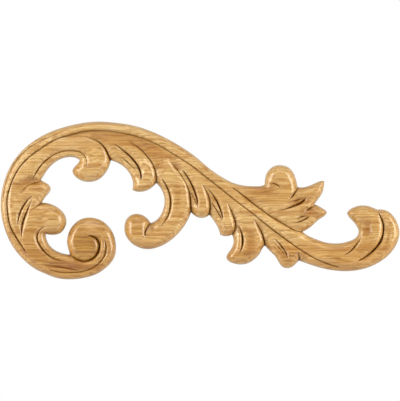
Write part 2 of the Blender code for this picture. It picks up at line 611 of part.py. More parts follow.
def field_points(outline, points):
    """A triangular field of points over what is left."""
    low, high = outline.min(axis=0), outline.max(axis=0)
    field = []
    for j, z in enumerate(np.arange(low[1], high[1], FIELD_PITCH * np.sqrt(0.75))):
        for x in np.arange(low[0] + (j % 2) * 0.5 * FIELD_PITCH, high[0], FIELD_PITCH):
            field.append((x, z))
    field = np.array(field)
    return spaced(field[inside(field, outline)], points, FIELD_GAP * FIELD_PITCH)


def carved_face():
    """The carved face seen from the front: its points and its triangles."""
    outline = outline_loop(OUTLINE_PITCH)
    points, edges = drawn_lines(outline)
    points += edge_rows(outline, points)
    points += cut_rows(outline, points)
    points += field_points(outline, points)
    made = delaunay_2d_cdt([Vector(p) for p in points], edges, [], 1, MERGE)
    return np.array([tuple(p) for p in made[0]]), made[2]


def carved_mesh(name):
    """One closed body: the carved face, the side wall round its outline and the flat back."""
    flat, faces = carved_face()
    height = relief(flat, outline_loop(SAMPLE_PITCH))
    shape = bmesh.new()
    corners = [shape.verts.new((x, -h, z)) for (x, z), h in zip(flat, height)]
    for face in faces:
        shape.faces.new([corners[i] for i in face])
    rim = [edge for edge in shape.edges if edge.is_boundary]
    wall = bmesh.ops.extrude_edge_only(shape, edges=rim)["geom"]
    for item in wall:
        if isinstance(item, bmesh.types.BMVert):
            item.co.y = 0.0
    foot = [edge for edge in shape.edges if edge.is_boundary]
    bmesh.ops.contextual_create(shape, geom=foot)
    bmesh.ops.recalc_face_normals(shape, faces=shape.faces)
    mesh = bpy.data.meshes.new(name)
    shape.to_mesh(mesh)
    shape.free()
    mesh.shade_smooth()
    mesh.set_sharp_from_angle(angle=CREASE_ANGLE)
    return mesh


def oak():
    """Pale oak under a satin varnish."""
    material = bpy.data.materials.new("oak")
    material.use_nodes = True
    shader = material.node_tree.nodes["Principled BSDF"]
    shader.inputs["Base Color"].default_value = (0.56, 0.35, 0.16, 1.0)
    shader.inputs["Roughness"].default_value = 0.45
    return material


def main():
    for old in list(bpy.data.objects):
        bpy.data.objects.remove(old, do_unlink=True)
    home = bpy.data.collections.new("acanthus applique")
    bpy.context.scene.collection.children.link(home)
    applique = bpy.data.objects.new("applique", carved_mesh("applique"))
    applique.data.materials.append(oak())
    home.objects.link(applique)


main()
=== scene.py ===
"""The carved acanthus applique as it hangs in the studio: the same carving with a fine surface.

The outline and the cuts are drawn on a grid of squares, x to the right and z up from the middle
of the piece. X runs along its length, Z is up, the flat back is on Y = 0 and the carving faces -Y.
"""

import math

import bpy
import numpy as np
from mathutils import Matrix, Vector
from mathutils.geometry import delaunay_2d_cdt


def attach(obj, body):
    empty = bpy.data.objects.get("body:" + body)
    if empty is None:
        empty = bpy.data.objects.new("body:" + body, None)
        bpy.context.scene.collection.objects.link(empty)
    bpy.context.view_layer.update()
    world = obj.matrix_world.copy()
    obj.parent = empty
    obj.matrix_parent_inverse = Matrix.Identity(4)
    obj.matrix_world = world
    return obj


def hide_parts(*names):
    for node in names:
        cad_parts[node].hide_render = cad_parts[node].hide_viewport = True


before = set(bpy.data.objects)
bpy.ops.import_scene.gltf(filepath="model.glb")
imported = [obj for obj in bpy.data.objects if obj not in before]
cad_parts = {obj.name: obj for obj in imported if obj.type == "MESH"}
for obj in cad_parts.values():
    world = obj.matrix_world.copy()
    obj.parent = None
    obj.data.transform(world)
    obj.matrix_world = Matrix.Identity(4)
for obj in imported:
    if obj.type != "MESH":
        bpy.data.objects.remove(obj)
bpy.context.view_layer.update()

# The board, in metres
LENGTH = 0.250
DEPTH = 0.012
THINNEST = 0.0015

# How far the carving lies below the front of the board: at its edge, and on its face
EDGE_DROP = 0.0072
FACE_DROP = 0.0022

# The rounded edge's width, and the crown that rises inwards from every edge and cut
EDGE_ROUND = 0.0050
CROWN = 0.0010
CROWN_REACH = 0.0060

# A full cut: the V groove, whose narrowest width is a share of the full one, and how far the wood
# falls to it over a steep and over a gentle side. A side slopes evenly for the first BEVEL of its
# width, and levels out over the rest. At the outline the wood falls by the share EDGE_FALL of that
CUT_DEPTH = 0.0012
CUT_HALF_WIDTH = 0.0008
NARROWEST = 0.35
FALL = 0.0012
STEEP_WIDTH = 0.0026
GENTLE_WIDTH = 0.0070
BEVEL = 0.45
EDGE_FALL = 0.4

# The depth of a hollow, or the height of a ridge, that has the darkest painted shade or the palest
# painted highlight
FULLY_PAINTED_DEPTH = 0.0011

# The places along a cut, as shares of its run, where its three depths hold
DEPTH_PLACES = (0.17, 0.5, 0.83)

# The length over which a groove, and the fall of the wood to it, run out at an open end
CUT_TAPER = 0.0040
TAPER = 0.0110

# The drawing grid: how many squares the piece is long, and the size of one
SQUARES_LONG = 399.4
SQUARE = LENGTH / SQUARES_LONG

# The pitch of the points in metres: on the outline, on a cut, over the face, and on a line that
# other points are measured from
OUTLINE_PITCH = 0.00045
CUT_PITCH = 0.00045
FIELD_PITCH = 0.00050
SAMPLE_PITCH = 0.0004

# Rows of points along the outline and along both sides of a cut: how far off they lie, as shares
# of the rounded edge's width and of a full cut's half width
EDGE_ROWS = (0.02, 0.06, 0.12, 0.20, 0.30, 0.42, 0.55)
CUT_ROWS = (0.5, 1.0, 1.6, 2.3)

# The least gap between points. Along the outline it is EDGE_GAP of the row's distance, but at most
# ROW_GAP of the field's pitch. Along a cut it is ROW_GAP of the row's distance, but at most CUT_GAP
# of a full cut's half width. Over the face it is FIELD_GAP of the field's pitch
EDGE_GAP = 0.9
ROW_GAP = 0.7
CUT_GAP = 0.45
FIELD_GAP = 0.6

# A row keeps this share of its distance clear of the outline: a row along the edge, one by a cut
RIM_CLEAR = 0.96
CUT_CLEAR = 0.5

# A cut's point joins the outline's where it is nearer to it than this share of the pitch
SNAP = 0.3

# Points of a curve worked out between two drawn ones, and stretches measured at a time
CURVE_STEPS = 24
BLOCK = 20

# Points nearer together than this are one, and a crease sharper than this angle shows as one
MERGE = 1e-7
CREASE_ANGLE = 1.0

# The outline, clockwise seen from the front, as smooth stretches that meet at corners
OUTLINE = {
    "scroll and back": [
        (-130.4, -54.2), (-131.9, -48.2), (-133.2, -42.0), (-132.6, -36.0), (-130.6, -30.2),
        (-127.4, -25.2), (-123.2, -21.0), (-117.8, -18.1), (-112.0, -17.0), (-104.9, -17.7),
        (-98.0, -20.4), (-91.7, -25.8), (-87.2, -32.4), (-84.9, -39.6), (-84.1, -47.8),
        (-85.5, -56.0), (-89.2, -62.4), (-94.9, -68.0), (-102.3, -73.1), (-110.5, -76.2),
        (-120.4, -78.3), (-131.0, -79.0), (-142.7, -77.8), (-153.9, -73.8), (-164.7, -68.7),
        (-174.2, -61.6), (-182.4, -53.0), (-189.2, -43.2), (-194.2, -32.4), (-197.6, -21.0),
        (-199.5, -9.0), (-199.3, 3.0), (-197.3, 14.7), (-193.6, 26.2), (-188.3, 36.9),
        (-181.4, 46.4), (-172.8, 54.8), (-163.0, 61.9), (-151.5, 68.0), (-138.5, 72.8),
        (-121.0, 77.1), (-103.5, 79.0), (-85.5, 78.0), (-68.0, 75.4), (-51.0, 70.2),
        (-34.5, 62.8), (-19.1, 54.0), (-4.3, 43.8), (9.3, 32.2), (24.2, 22.2),
        (34.9, 17.1), (46.6, 14.7), (56.0, 14.3), (61.0, 14.6), (64.7, 16.0),
    ],
    "flower ball": [
        (64.7, 16.0), (65.4, 23.0), (67.4, 28.4), (70.9, 32.4), (75.9, 35.0),
        (81.9, 35.3), (87.7, 33.6), (92.2, 29.6), (95.0, 24.4), (96.8, 18.4), (97.7, 13.7),
    ],
    "upper petal, top": [
        (97.7, 13.7), (101.0, 13.2), (106.0, 13.8), (112.0, 15.9), (118.0, 18.6), (122.0, 19.7),
        (124.4, 19.4),
    ],
    "upper petal, right": [
        (124.4, 19.4), (124.2, 15.2), (123.0, 9.6), (120.9, 4.9), (117.6, 0.5), (114.6, -3.8),
    ],
    "lower petal, top": [
        (114.6, -3.8), (118.2, -5.2), (122.2, -7.5), (125.6, -9.8), (127.1, -12.0),
    ],
    "lower petal, bottom": [
        (127.1, -12.0), (124.6, -15.4), (119.3, -18.9), (114.8, -22.9), (109.6, -27.4),
        (102.6, -31.3),
    ],
    "hook, inside": [
        (102.6, -31.3), (109.0, -35.6), (116.3, -38.7), (124.8, -41.6), (133.6, -42.9),
        (142.8, -42.4), (150.4, -40.3), (156.4, -36.8), (158.9, -31.5), (157.1, -25.9),
        (153.0, -20.6), (149.2, -16.4), (147.2, -12.7),
    ],
    "hook, small leaf": [
        (147.2, -12.7), (149.6, -9.4), (153.6, -7.0), (158.4, -5.4), (163.8, -4.9),
        (169.6, -5.8), (174.6, -7.8), (178.0, -9.1),
    ],
    "hook and foot": [
        (178.0, -9.1), (182.4, -9.0), (187.0, -10.2), (191.8, -13.6), (195.5, -18.3),
        (198.3, -24.5), (199.7, -31.0), (198.9, -38.0), (196.2, -44.8), (192.0, -51.1),
        (185.8, -57.4), (178.3, -62.5), (170.2, -66.4), (160.5, -69.3), (149.8, -70.7),
        (137.8, -70.5), (126.0, -68.7), (112.0, -64.8), (99.2, -60.2),
    ],
    "fifth leaf": [
        (99.2, -60.2), (97.0, -62.2), (93.4, -65.6), (88.4, -67.7), (83.2, -66.8), (79.6, -63.0),
        (76.4, -57.4), (71.6, -52.2), (65.0, -45.2),
    ],
    "fourth leaf": [
        (65.0, -45.2), (62.6, -48.0), (59.9, -53.0), (54.6, -58.8), (47.9, -62.9),
        (40.4, -64.1), (33.2, -62.9), (28.4, -60.4), (26.3, -57.4),
    ],
    "fourth leaf, inside": [
        (26.3, -57.4), (27.3, -54.0), (30.9, -48.8), (33.2, -43.4), (33.3, -38.0), (31.9, -34.2),
    ],
    "third leaf, end": [
        (31.9, -34.2), (28.8, -35.5), (24.6, -35.7), (20.2, -34.2),
    ],
    "third leaf, left": [
        (20.2, -34.2), (18.6, -28.8), (15.6, -23.0), (12.1, -17.9), (9.3, -14.5),
    ],
    "second leaf, end": [
        (9.3, -14.5), (5.4, -16.9), (0.8, -17.5), (-3.9, -16.1), (-8.9, -11.8),
    ],
    "low curl, outside": [
        (-8.9, -11.8), (-12.4, -20.0), (-17.4, -27.9), (-24.6, -35.9), (-33.1, -42.5),
        (-42.8, -47.1), (-52.7, -48.8), (-62.2, -46.6), (-70.3, -41.0), (-75.0, -33.0),
        (-75.7, -25.2), (-73.2, -18.2), (-67.4, -13.9), (-60.6, -13.6), (-54.6, -16.4),
        (-49.6, -22.4),
    ],
    "low curl, inside": [
        (-49.6, -22.4), (-45.8, -20.9), (-40.6, -16.3), (-37.2, -9.6), (-35.7, -2.4),
        (-36.2, 4.8), (-38.9, 11.4), (-43.8, 17.4),
    ],
    "first leaf, end": [
        (-43.8, 17.4), (-47.6, 13.4), (-52.5, 10.3), (-58.3, 8.8), (-64.3, 9.1), (-68.0, 10.8),
    ],
    "first leaf, left": [
        (-68.0, 10.8), (-67.1, 17.0), (-69.0, 24.2), (-73.1, 30.6), (-79.4, 35.9), (-89.4, 40.2),
    ],
    "top curl": [
        (-89.4, 40.2), (-91.2, 33.6), (-94.6, 27.6), (-100.0, 22.0), (-107.0, 19.0),
        (-114.6, 18.8), (-121.6, 21.4), (-126.4, 25.9), (-127.8, 30.0),
    ],
    "top curl, inside": [
        (-127.8, 30.0), (-125.9, 33.4), (-122.6, 36.8), (-120.6, 40.4),
    ],
    "scroll, inside top": [
        (-120.6, 40.4), (-124.8, 42.8), (-130.6, 43.5), (-138.2, 42.0), (-145.8, 37.8),
        (-152.4, 31.2), (-156.8, 24.6), (-159.4, 20.4),
    ],
    "tongue, top": [
        (-159.4, 20.4), (-155.6, 18.4), (-151.6, 15.8), (-149.4, 11.6),
    ],
    "tongue, bottom": [
        (-149.4, 11.6), (-150.9, 8.4), (-155.0, 3.2), (-158.4, -2.2),
    ],
    "small curl": [
        (-158.4, -2.2), (-152.6, -2.6), (-146.4, -4.7), (-140.4, -8.5), (-135.7, -14.0),
        (-133.8, -21.0), (-135.6, -27.6), (-139.9, -32.7), (-146.0, -34.4), (-154.4, -33.5),
    ],
    "scroll, inside bottom": [
        (-154.4, -33.5), (-153.6, -39.2), (-150.6, -45.0), (-145.4, -49.6), (-138.2, -52.7),
        (-130.4, -54.2),
    ],
}

# The cuts between the leaves, as smooth curves. Of each: its depth at the start, the middle and the
# end of its run, as shares of CUT_DEPTH; its fall, as a share of FALL; the side on which the wood
# falls to it steeply ("left" or "right" of its run, or "both"); which ends run out to nothing; and
# its points
# A cut's depth also sets how dark the painted shade in it is
CUTS = {
    "main": ((0.65, 0.45, 0.6), 0.5, "both", "both", [
        (-172.0, -54.0), (-178.4, -45.2), (-184.6, -35.6), (-189.8, -25.4), (-192.2, -13.0),
        (-192.9, 0.0), (-190.9, 10.6), (-187.0, 21.4), (-181.6, 31.4), (-174.2, 40.4),
        (-165.6, 47.6), (-156.0, 54.2), (-145.0, 60.8), (-130.0, 65.4), (-115.0, 69.0),
        (-100.0, 70.0), (-85.0, 68.7), (-70.0, 65.7), (-55.0, 61.2), (-40.0, 54.6), (-25.0, 45.3),
        (-10.0, 35.8), (5.0, 24.1), (20.0, 12.4), (35.0, 0.4), (50.0, -11.1), (65.0, -22.9),
        (80.0, -34.6), (95.0, -45.5), (110.0, -55.2), (125.0, -62.2), (143.0, -67.6),
    ]),
    "stem": ((0.6, 0.55, 0.55), 1.0, "right", "first", [
        (29.0, 14.4), (37.0, 9.6), (45.0, 3.4), (55.0, -4.5), (65.0, -12.0), (75.0, -18.8),
        (85.0, -24.6), (95.0, -30.1), (102.6, -31.3),
    ]),
    "top curl strip": ((0.65, 0.5, 0.4), 0.7, "both", "both", [
        (-168.7, 18.4), (-165.2, 25.5), (-160.3, 33.3), (-153.4, 40.6), (-144.0, 46.8),
        (-133.5, 49.7), (-122.5, 49.1), (-116.0, 45.5), (-113.0, 38.5), (-114.0, 31.0),
    ]),
    "top curl edge": ((0.35, 0.7, 1.0), 1.1, "right", "first", [
        (-118.0, 64.0), (-110.5, 62.5), (-104.0, 60.1), (-98.6, 56.3), (-94.0, 50.4),
        (-91.4, 44.6), (-89.4, 40.2),
    ]),
    "tongue edge": ((0.25, 0.3, 0.35), 0.9, "right", "first", [
        (-184.6, -0.6), (-181.0, 5.2), (-176.0, 11.0), (-170.2, 15.8), (-164.4, 17.4),
        (-159.4, 20.4),
    ]),
    "sliver one": ((0.5, 0.9, 0.5), 0.9, "both", "both", [
        (-164.2, 6.4), (-170.0, 2.6), (-175.0, -3.0), (-179.2, -10.4), (-181.6, -18.6),
        (-182.6, -28.0),
    ]),
    "sliver two": ((0.5, 0.9, 0.5), 0.9, "both", "both", [
        (-166.6, 2.6), (-170.4, -4.8), (-174.2, -13.6), (-177.2, -22.4), (-178.4, -31.4),
        (-177.8, -40.4),
    ]),
    "small curl edge": ((0.6, 0.35, 0.3), 0.9, "right", "last", [
        (-158.4, -2.2), (-163.4, -6.0), (-168.6, -9.8), (-173.0, -15.2),
    ]),
    "small curl strip": ((0.5, 0.8, 0.35), 0.8, "both", "both", [
        (-151.4, -27.4), (-155.4, -26.4), (-159.6, -29.0), (-162.4, -33.6), (-162.7, -39.0),
        (-160.2, -44.8), (-155.8, -50.8), (-149.6, -56.2), (-140.0, -60.0), (-129.0, -60.9),
    ]),
    "scroll disc": ((0.45, 0.75, 0.8), 1.2, "both", "last", [
        (-130.4, -54.2), (-126.0, -56.9), (-121.2, -59.7), (-115.0, -60.8), (-108.2, -58.6),
        (-103.2, -54.0), (-100.7, -47.6), (-101.4, -41.4), (-104.8, -37.2), (-109.6, -35.4),
        (-115.0, -34.8),
    ]),
    "scroll spiral": ((0.55, 0.5, 0.5), 0.5, "both", "both", [
        (-97.2, -36.6), (-94.4, -43.0), (-94.2, -50.2), (-96.8, -57.6), (-101.6, -63.2),
        (-108.6, -68.0), (-117.5, -71.0), (-127.0, -72.0), (-137.0, -72.0), (-146.0, -70.4),
        (-154.0, -67.4),
    ]),
    "scroll line": ((0.5, 0.5, 0.45), 0.5, "both", "both", [
        (-118.0, -70.2), (-126.0, -69.2), (-137.0, -67.0), (-149.0, -65.4), (-160.4, -62.8),
    ]),
    "bead": ((0.45, 0.5, 0.35), 0.6, "both", "both", [
        (-197.0, -4.0), (-196.4, 8.0), (-193.6, 20.0), (-188.7, 31.4), (-181.8, 42.0),
        (-172.6, 51.0), (-162.0, 58.0), (-150.0, 63.8), (-137.0, 68.6),
    ]),
    "leaf one middle": ((0.5, 1.0, 1.0), 1.1, "left", "both", [
        (-89.0, 58.0), (-80.0, 52.5), (-72.5, 46.6), (-66.0, 40.0), (-61.6, 33.6), (-59.3, 26.8),
        (-59.4, 17.6),
    ]),
    "leaf one fine": ((0.3, 0.6, 0.4), 0.7, "both", "both", [
        (-85.5, 46.0), (-79.0, 43.3), (-72.0, 38.0), (-66.0, 32.2), (-62.0, 26.4),
    ]),
    "leaf one edge": ((0.45, 0.6, 0.65), 1.1, "right", "first", [
        (-73.5, 60.2), (-66.0, 55.8), (-58.4, 50.0), (-52.0, 42.8), (-46.8, 35.0), (-44.4, 27.0),
        (-43.8, 17.4),
    ]),
    "low curl strip": ((0.75, 0.65, 0.5), 0.9, "both", "both", [
        (-39.6, 23.6), (-34.4, 16.2), (-31.0, 8.4), (-29.5, 0.0), (-30.0, -8.4), (-32.8, -16.8),
        (-37.0, -23.0), (-41.6, -28.2),
    ]),
    "low curl neck": ((0.55, 0.85, 0.7), 1.1, "right", "last", [
        (-49.6, -22.4), (-52.6, -26.6), (-54.7, -31.0), (-53.1, -39.0),
    ]),
    "low curl edge": ((0.25, 0.4, 0.85), 1.2, "right", "first", [
        (-34.0, 44.2), (-27.2, 36.0), (-20.8, 28.0), (-15.0, 18.6), (-11.0, 8.6), (-9.6, -1.0),
        (-8.9, -11.8),
    ]),
    "leaf two first": ((0.75, 0.9, 0.85), 0.9, "both", "both", [
        (-19.0, 32.6), (-13.4, 24.9), (-8.4, 16.2), (-4.8, 7.4), (-2.4, -1.2), (-1.5, -6.6),
    ]),
    "leaf two second": ((0.5, 0.5, 0.65), 0.8, "both", "both", [
        (-10.8, 11.6), (-7.2, 4.2), (-3.8, -2.2), (-1.1, -8.8),
    ]),
    "leaf two edge": ((0.3, 0.5, 0.8), 1.2, "right", "first", [
        (0.0, 19.6), (4.6, 12.2), (8.3, 4.4), (9.9, -4.6), (9.3, -14.5),
    ]),
    "leaf three first": ((0.5, 0.9, 0.75), 0.9, "both", "both", [
        (5.8, 14.0), (11.2, 8.0), (16.0, 0.6), (20.0, -8.0), (22.7, -17.0), (23.4, -21.6),
    ]),
    "leaf three second": ((0.6, 0.6, 0.7), 0.8, "both", "both", [
        (10.6, 0.4), (13.6, -4.9), (18.4, -12.8), (23.6, -22.4),
    ]),
    "leaf three edge": ((0.3, 0.7, 0.6), 1.2, "right", "first", [
        (24.8, 0.8), (29.2, -6.0), (33.0, -14.6), (35.5, -25.4), (31.9, -34.2),
    ]),
    "leaf four": ((0.65, 0.95, 0.55), 1.1, "both", "both", [
        (37.2, -23.2), (41.0, -31.0), (42.7, -40.0), (41.2, -48.6), (37.0, -55.2),
    ]),
    "leaf four edge": ((0.25, 0.6, 0.85), 1.2, "right", "first", [
        (51.4, -15.6), (54.6, -20.0), (59.0, -27.0), (62.6, -34.8), (65.0, -45.2),
    ]),
    "leaf five first": ((0.4, 0.75, 0.6), 0.6, "both", "both", [
        (71.0, -35.4), (77.2, -41.2), (82.6, -47.2), (86.6, -54.0), (87.8, -60.0),
    ]),
    "leaf five second": ((0.3, 0.5, 0.5), 0.7, "right", "both", [
        (69.6, -40.2), (76.3, -44.9), (81.8, -50.3), (86.2, -56.4),
    ]),
    "leaf five edge": ((0.1, 0.6, 0.85), 1.1, "right", "first", [
        (95.6, -48.6), (98.2, -53.0), (99.2, -60.2),
    ]),
    "hook outer": ((0.8, 1.0, 0.65), 1.2, "right", "both", [
        (178.0, -9.1), (180.0, -15.2), (182.8, -22.4), (183.4, -30.2), (181.4, -38.8),
        (176.6, -46.4), (169.6, -53.2), (162.2, -58.4), (155.0, -61.4),
    ]),
    "hook inner": ((0.45, 0.75, 0.55), 0.6, "both", "both", [
        (162.4, -34.0), (159.6, -39.6), (155.4, -45.4), (150.6, -50.5), (140.6, -55.8),
    ]),
    "ball curl": ((0.4, 0.6, 0.6), 0.9, "left", "both", [
        (66.8, 16.3), (72.4, 17.2), (77.6, 15.2), (82.0, 9.6),
    ]),
    "ball edge": ((0.5, 0.85, 0.45), 1.2, "right", "last", [
        (98.1, 13.4), (94.6, 7.5), (90.8, 2.5), (86.7, -0.4),
    ]),
    "upper petal": ((0.5, 0.7, 1.0), 0.8, "both", "both", [
        (75.0, -10.0), (84.0, -8.9), (92.6, -6.0), (100.4, -2.6), (107.4, 4.0),
    ]),
    "upper petal fine": ((0.5, 0.7, 0.7), 0.8, "both", "both", [
        (88.6, -1.6), (95.6, -0.2), (103.6, 3.4),
    ]),
    "lower petal edge": ((0.3, 0.8, 0.5), 1.1, "left", "first", [
        (102.6, -13.0), (108.0, -9.2), (115.4, -4.7),
    ]),
    "lower petal": ((0.6, 0.75, 0.85), 0.8, "both", "both", [
        (92.0, -23.0), (100.2, -21.0), (106.8, -17.8), (111.0, -14.4),
    ]),
    "lower petal fine": ((0.45, 0.6, 0.7), 0.8, "both", "both", [
        (92.6, -19.6), (100.2, -16.8), (108.0, -14.4),
    ]),
}

# Low domes on the ends of the leaves: the middle and the radius in squares, the height in metres
SWELLS = {
    "top curl": (-109.0, 31.0, 15.0, 0.0012),
    "leaf one": (-54.5, 17.0, 11.0, 0.0006),
    "low curl": (-62.5, -30.0, 14.0, 0.0016),
    "leaf two": (2.0, -7.0, 9.0, 0.0006),
    "leaf three": (27.5, -26.0, 9.0, 0.0006),
    "leaf four": (49.0, -50.0, 14.0, 0.0008),
    "leaf five": (91.5, -57.0, 8.0, 0.0006),
    "flower ball": (81.0, 25.0, 14.0, 0.0012),
    "small curl": (-147.0, -18.0, 13.0, 0.0012),
    "scroll disc": (-115.0, -47.0, 14.0, 0.0006),
    "hook leaf": (164.0, -14.0, 13.0, 0.0008),
    "foot": (122.0, -52.0, 17.0, 0.0006),
}

# Wide shallow gouges: the depth in metres, the half width in squares, and the points
# A hollow's depth also sets the painted shade in it
HOLLOWS = {
    "under the back": (0.0015, 9.0, [(-112.0, 66.0), (-96.0, 63.5), (-76.0, 61.5), (-58.0, 56.0),
                                     (-45.0, 46.0), (-40.0, 36.0), (-40.5, 24.0)]),
    "behind the top curl": (0.0008, 5.5, [(-142.0, 58.0), (-124.0, 64.0), (-104.0, 65.0),
                                          (-86.0, 58.0)]),
    "over the low curl": (0.0010, 5.5, [(-54.0, 56.0), (-38.0, 48.5), (-26.0, 39.0),
                                        (-14.0, 28.0)]),
    "tongue": (0.0012, 6.0, [(-191.0, 11.0), (-181.0, 15.5), (-171.0, 20.5), (-161.0, 15.5),
                             (-153.0, 10.0)]),
    "small curl": (0.0014, 6.5, [(-170.0, -27.0), (-159.0, -22.0), (-149.0, -24.5)]),
    "small curl rim": (0.0005, 3.0, [(-150.0, -3.5), (-141.0, -7.5), (-136.2, -15.0),
                                     (-137.4, -25.0)]),
    "top curl rim": (0.0006, 3.6, [(-122.0, 38.0), (-126.0, 30.0), (-120.5, 25.0),
                                   (-112.0, 22.0)]),
    "scroll rim": (0.0005, 3.2, [(-129.0, -46.0), (-129.5, -34.0), (-122.0, -22.5),
                                 (-110.0, -18.5)]),
    "scroll foot": (0.0012, 8.5, [(-156.0, -59.5), (-140.0, -64.5), (-124.0, -66.0),
                                  (-110.0, -64.0)]),
    "scroll top": (0.0008, 6.0, [(-126.0, -26.0), (-112.0, -21.0), (-98.0, -25.0),
                                 (-90.0, -34.0)]),
    "low curl": (0.0007, 5.0, [(-27.0, 26.0), (-22.5, 12.0), (-22.0, -4.0), (-28.0, -19.0)]),
    "low curl neck": (0.0014, 5.8, [(-57.0, -23.0), (-48.0, -28.5), (-37.0, -30.0)]),
    "leaf two": (0.0007, 3.0, [(-9.0, 10.0), (-4.6, 2.0), (-1.8, -6.0)]),
    "leaf four": (0.0012, 6.5, [(46.0, -20.0), (50.5, -33.0), (50.5, -46.0), (44.0, -57.0)]),
    "leaf four rim": (0.0014, 3.2, [(36.5, -45.0), (31.0, -50.5), (27.6, -56.0),
                                    (31.0, -61.0)]),
    "leaf four tip": (0.0011, 4.5, [(36.0, -60.0), (30.5, -57.5), (27.0, -53.0)]),
    "leaf five": (0.0014, 5.0, [(81.0, -48.0), (85.5, -56.0), (87.0, -64.0)]),
    "flower": (0.0013, 7.0, [(42.0, 12.0), (56.0, 8.5), (70.0, 9.5), (84.0, 9.0)]),
    "upper petal": (0.0018, 5.4, [(86.0, -4.0), (97.0, -1.5), (106.0, 1.0), (116.0, 6.0)]),
    "between the petals": (0.0018, 5.0, [(98.0, -11.0), (106.5, -9.5), (112.5, -11.5),
                                          (119.0, -14.5)]),
    "lower petal": (0.0011, 4.6, [(95.0, -19.0), (104.0, -16.5), (111.0, -13.5), (120.0, -10.0)]),
    "hook leaf": (0.0015, 6.5, [(161.0, -13.0), (166.5, -22.0), (167.0, -33.0), (161.0, -45.0)]),
    "hook back": (0.0008, 4.4, [(188.0, -16.0), (190.0, -27.0), (188.0, -39.0),
                                 (180.0, -52.0)]),
    "foot": (0.0006, 5.5, [(108.0, -62.0), (128.0, -66.0), (150.0, -66.5), (168.0, -62.0)]),
}

# Low rounded ridges: the height in metres, the half width in squares, and the points
# A ridge's height also sets the painted highlight on it
RIDGES = {
    "back": (0.0007, 5.0, [(-193.5, 4.0), (-186.5, 27.0), (-172.0, 46.0), (-152.0, 60.0),
                           (-128.0, 70.0), (-100.0, 74.0), (-70.0, 70.0)]),
    "top curl": (0.0006, 6.5, [(-112.0, 58.0), (-105.0, 49.0), (-102.6, 38.0), (-105.0, 27.0)]),
    "petal rim": (0.0009, 3.0, [(112.5, 0.0), (117.0, 5.5), (120.5, 12.0), (122.5, 18.0)]),
    "left leaf": (0.0007, 5.5, [(-186.5, 6.0), (-183.0, -4.0), (-176.0, -10.0), (-170.0, -18.0)]),
    "scroll ring": (0.0012, 3.6, [(-98.4, -37.0), (-97.6, -46.0), (-100.0, -54.0),
                                  (-105.0, -60.5)]),
    "scroll rim": (0.0006, 4.0, [(-124.0, -32.0), (-114.0, -28.5), (-103.0, -30.0),
                                 (-95.5, -36.0)]),
    "scroll hollow side": (0.0005, 3.4, [(-128.6, -36.0), (-129.6, -44.0), (-127.0, -51.0)]),
    "leaf one": (0.0006, 3.8, [(-68.0, 51.0), (-58.0, 40.0), (-53.5, 28.0), (-53.0, 16.0)]),
    "low curl side": (0.0015, 3.6, [(-36.0, 15.0), (-33.2, 4.0), (-33.6, -8.0), (-38.0, -18.0)]),
    "low curl end": (0.0012, 4.6, [(-71.0, -26.0), (-70.0, -34.0), (-61.0, -35.5),
                                   (-54.0, -34.0)]),
    "low curl base": (0.0008, 4.0, [(-48.0, -37.0), (-38.0, -38.0), (-27.0, -33.0)]),
    "leaf two side": (0.0009, 3.4, [(-23.5, 31.0), (-17.5, 22.5), (-12.5, 12.0), (-9.0, 2.0)]),
    "leaf two end": (0.0014, 4.2, [(4.0, 6.0), (7.4, -3.0), (8.0, -12.0)]),
    "leaf three side": (0.0009, 3.2, [(11.5, -3.0), (14.5, -9.5), (19.5, -18.0)]),
    "leaf three end": (0.0016, 4.2, [(29.5, -14.0), (32.6, -23.0), (32.0, -31.0)]),
    "leaf four side": (0.0005, 3.0, [(37.5, -34.0), (38.8, -43.0), (36.4, -50.0)]),
    "stem": (0.0015, 7.0, [(28.0, 9.0), (45.0, -7.0), (62.0, -17.5), (80.0, -27.0),
                           (98.0, -34.0), (114.0, -31.0)]),
    "foot": (0.0010, 5.5, [(86.0, -41.0), (98.0, -48.0), (114.0, -56.0), (132.0, -58.0)]),
    "flower ball": (0.0005, 3.4, [(91.0, 20.0), (93.0, 13.0), (89.0, 6.0)]),
    "hook": (0.0008, 4.2, [(158.0, -63.5), (170.0, -58.0), (179.0, -49.0), (184.0, -37.0),
                           (184.4, -24.0)]),
    "hook side": (0.0010, 3.4, [(176.6, -23.0), (178.6, -33.0), (175.0, -43.0),
                                (166.0, -52.0)]),
}

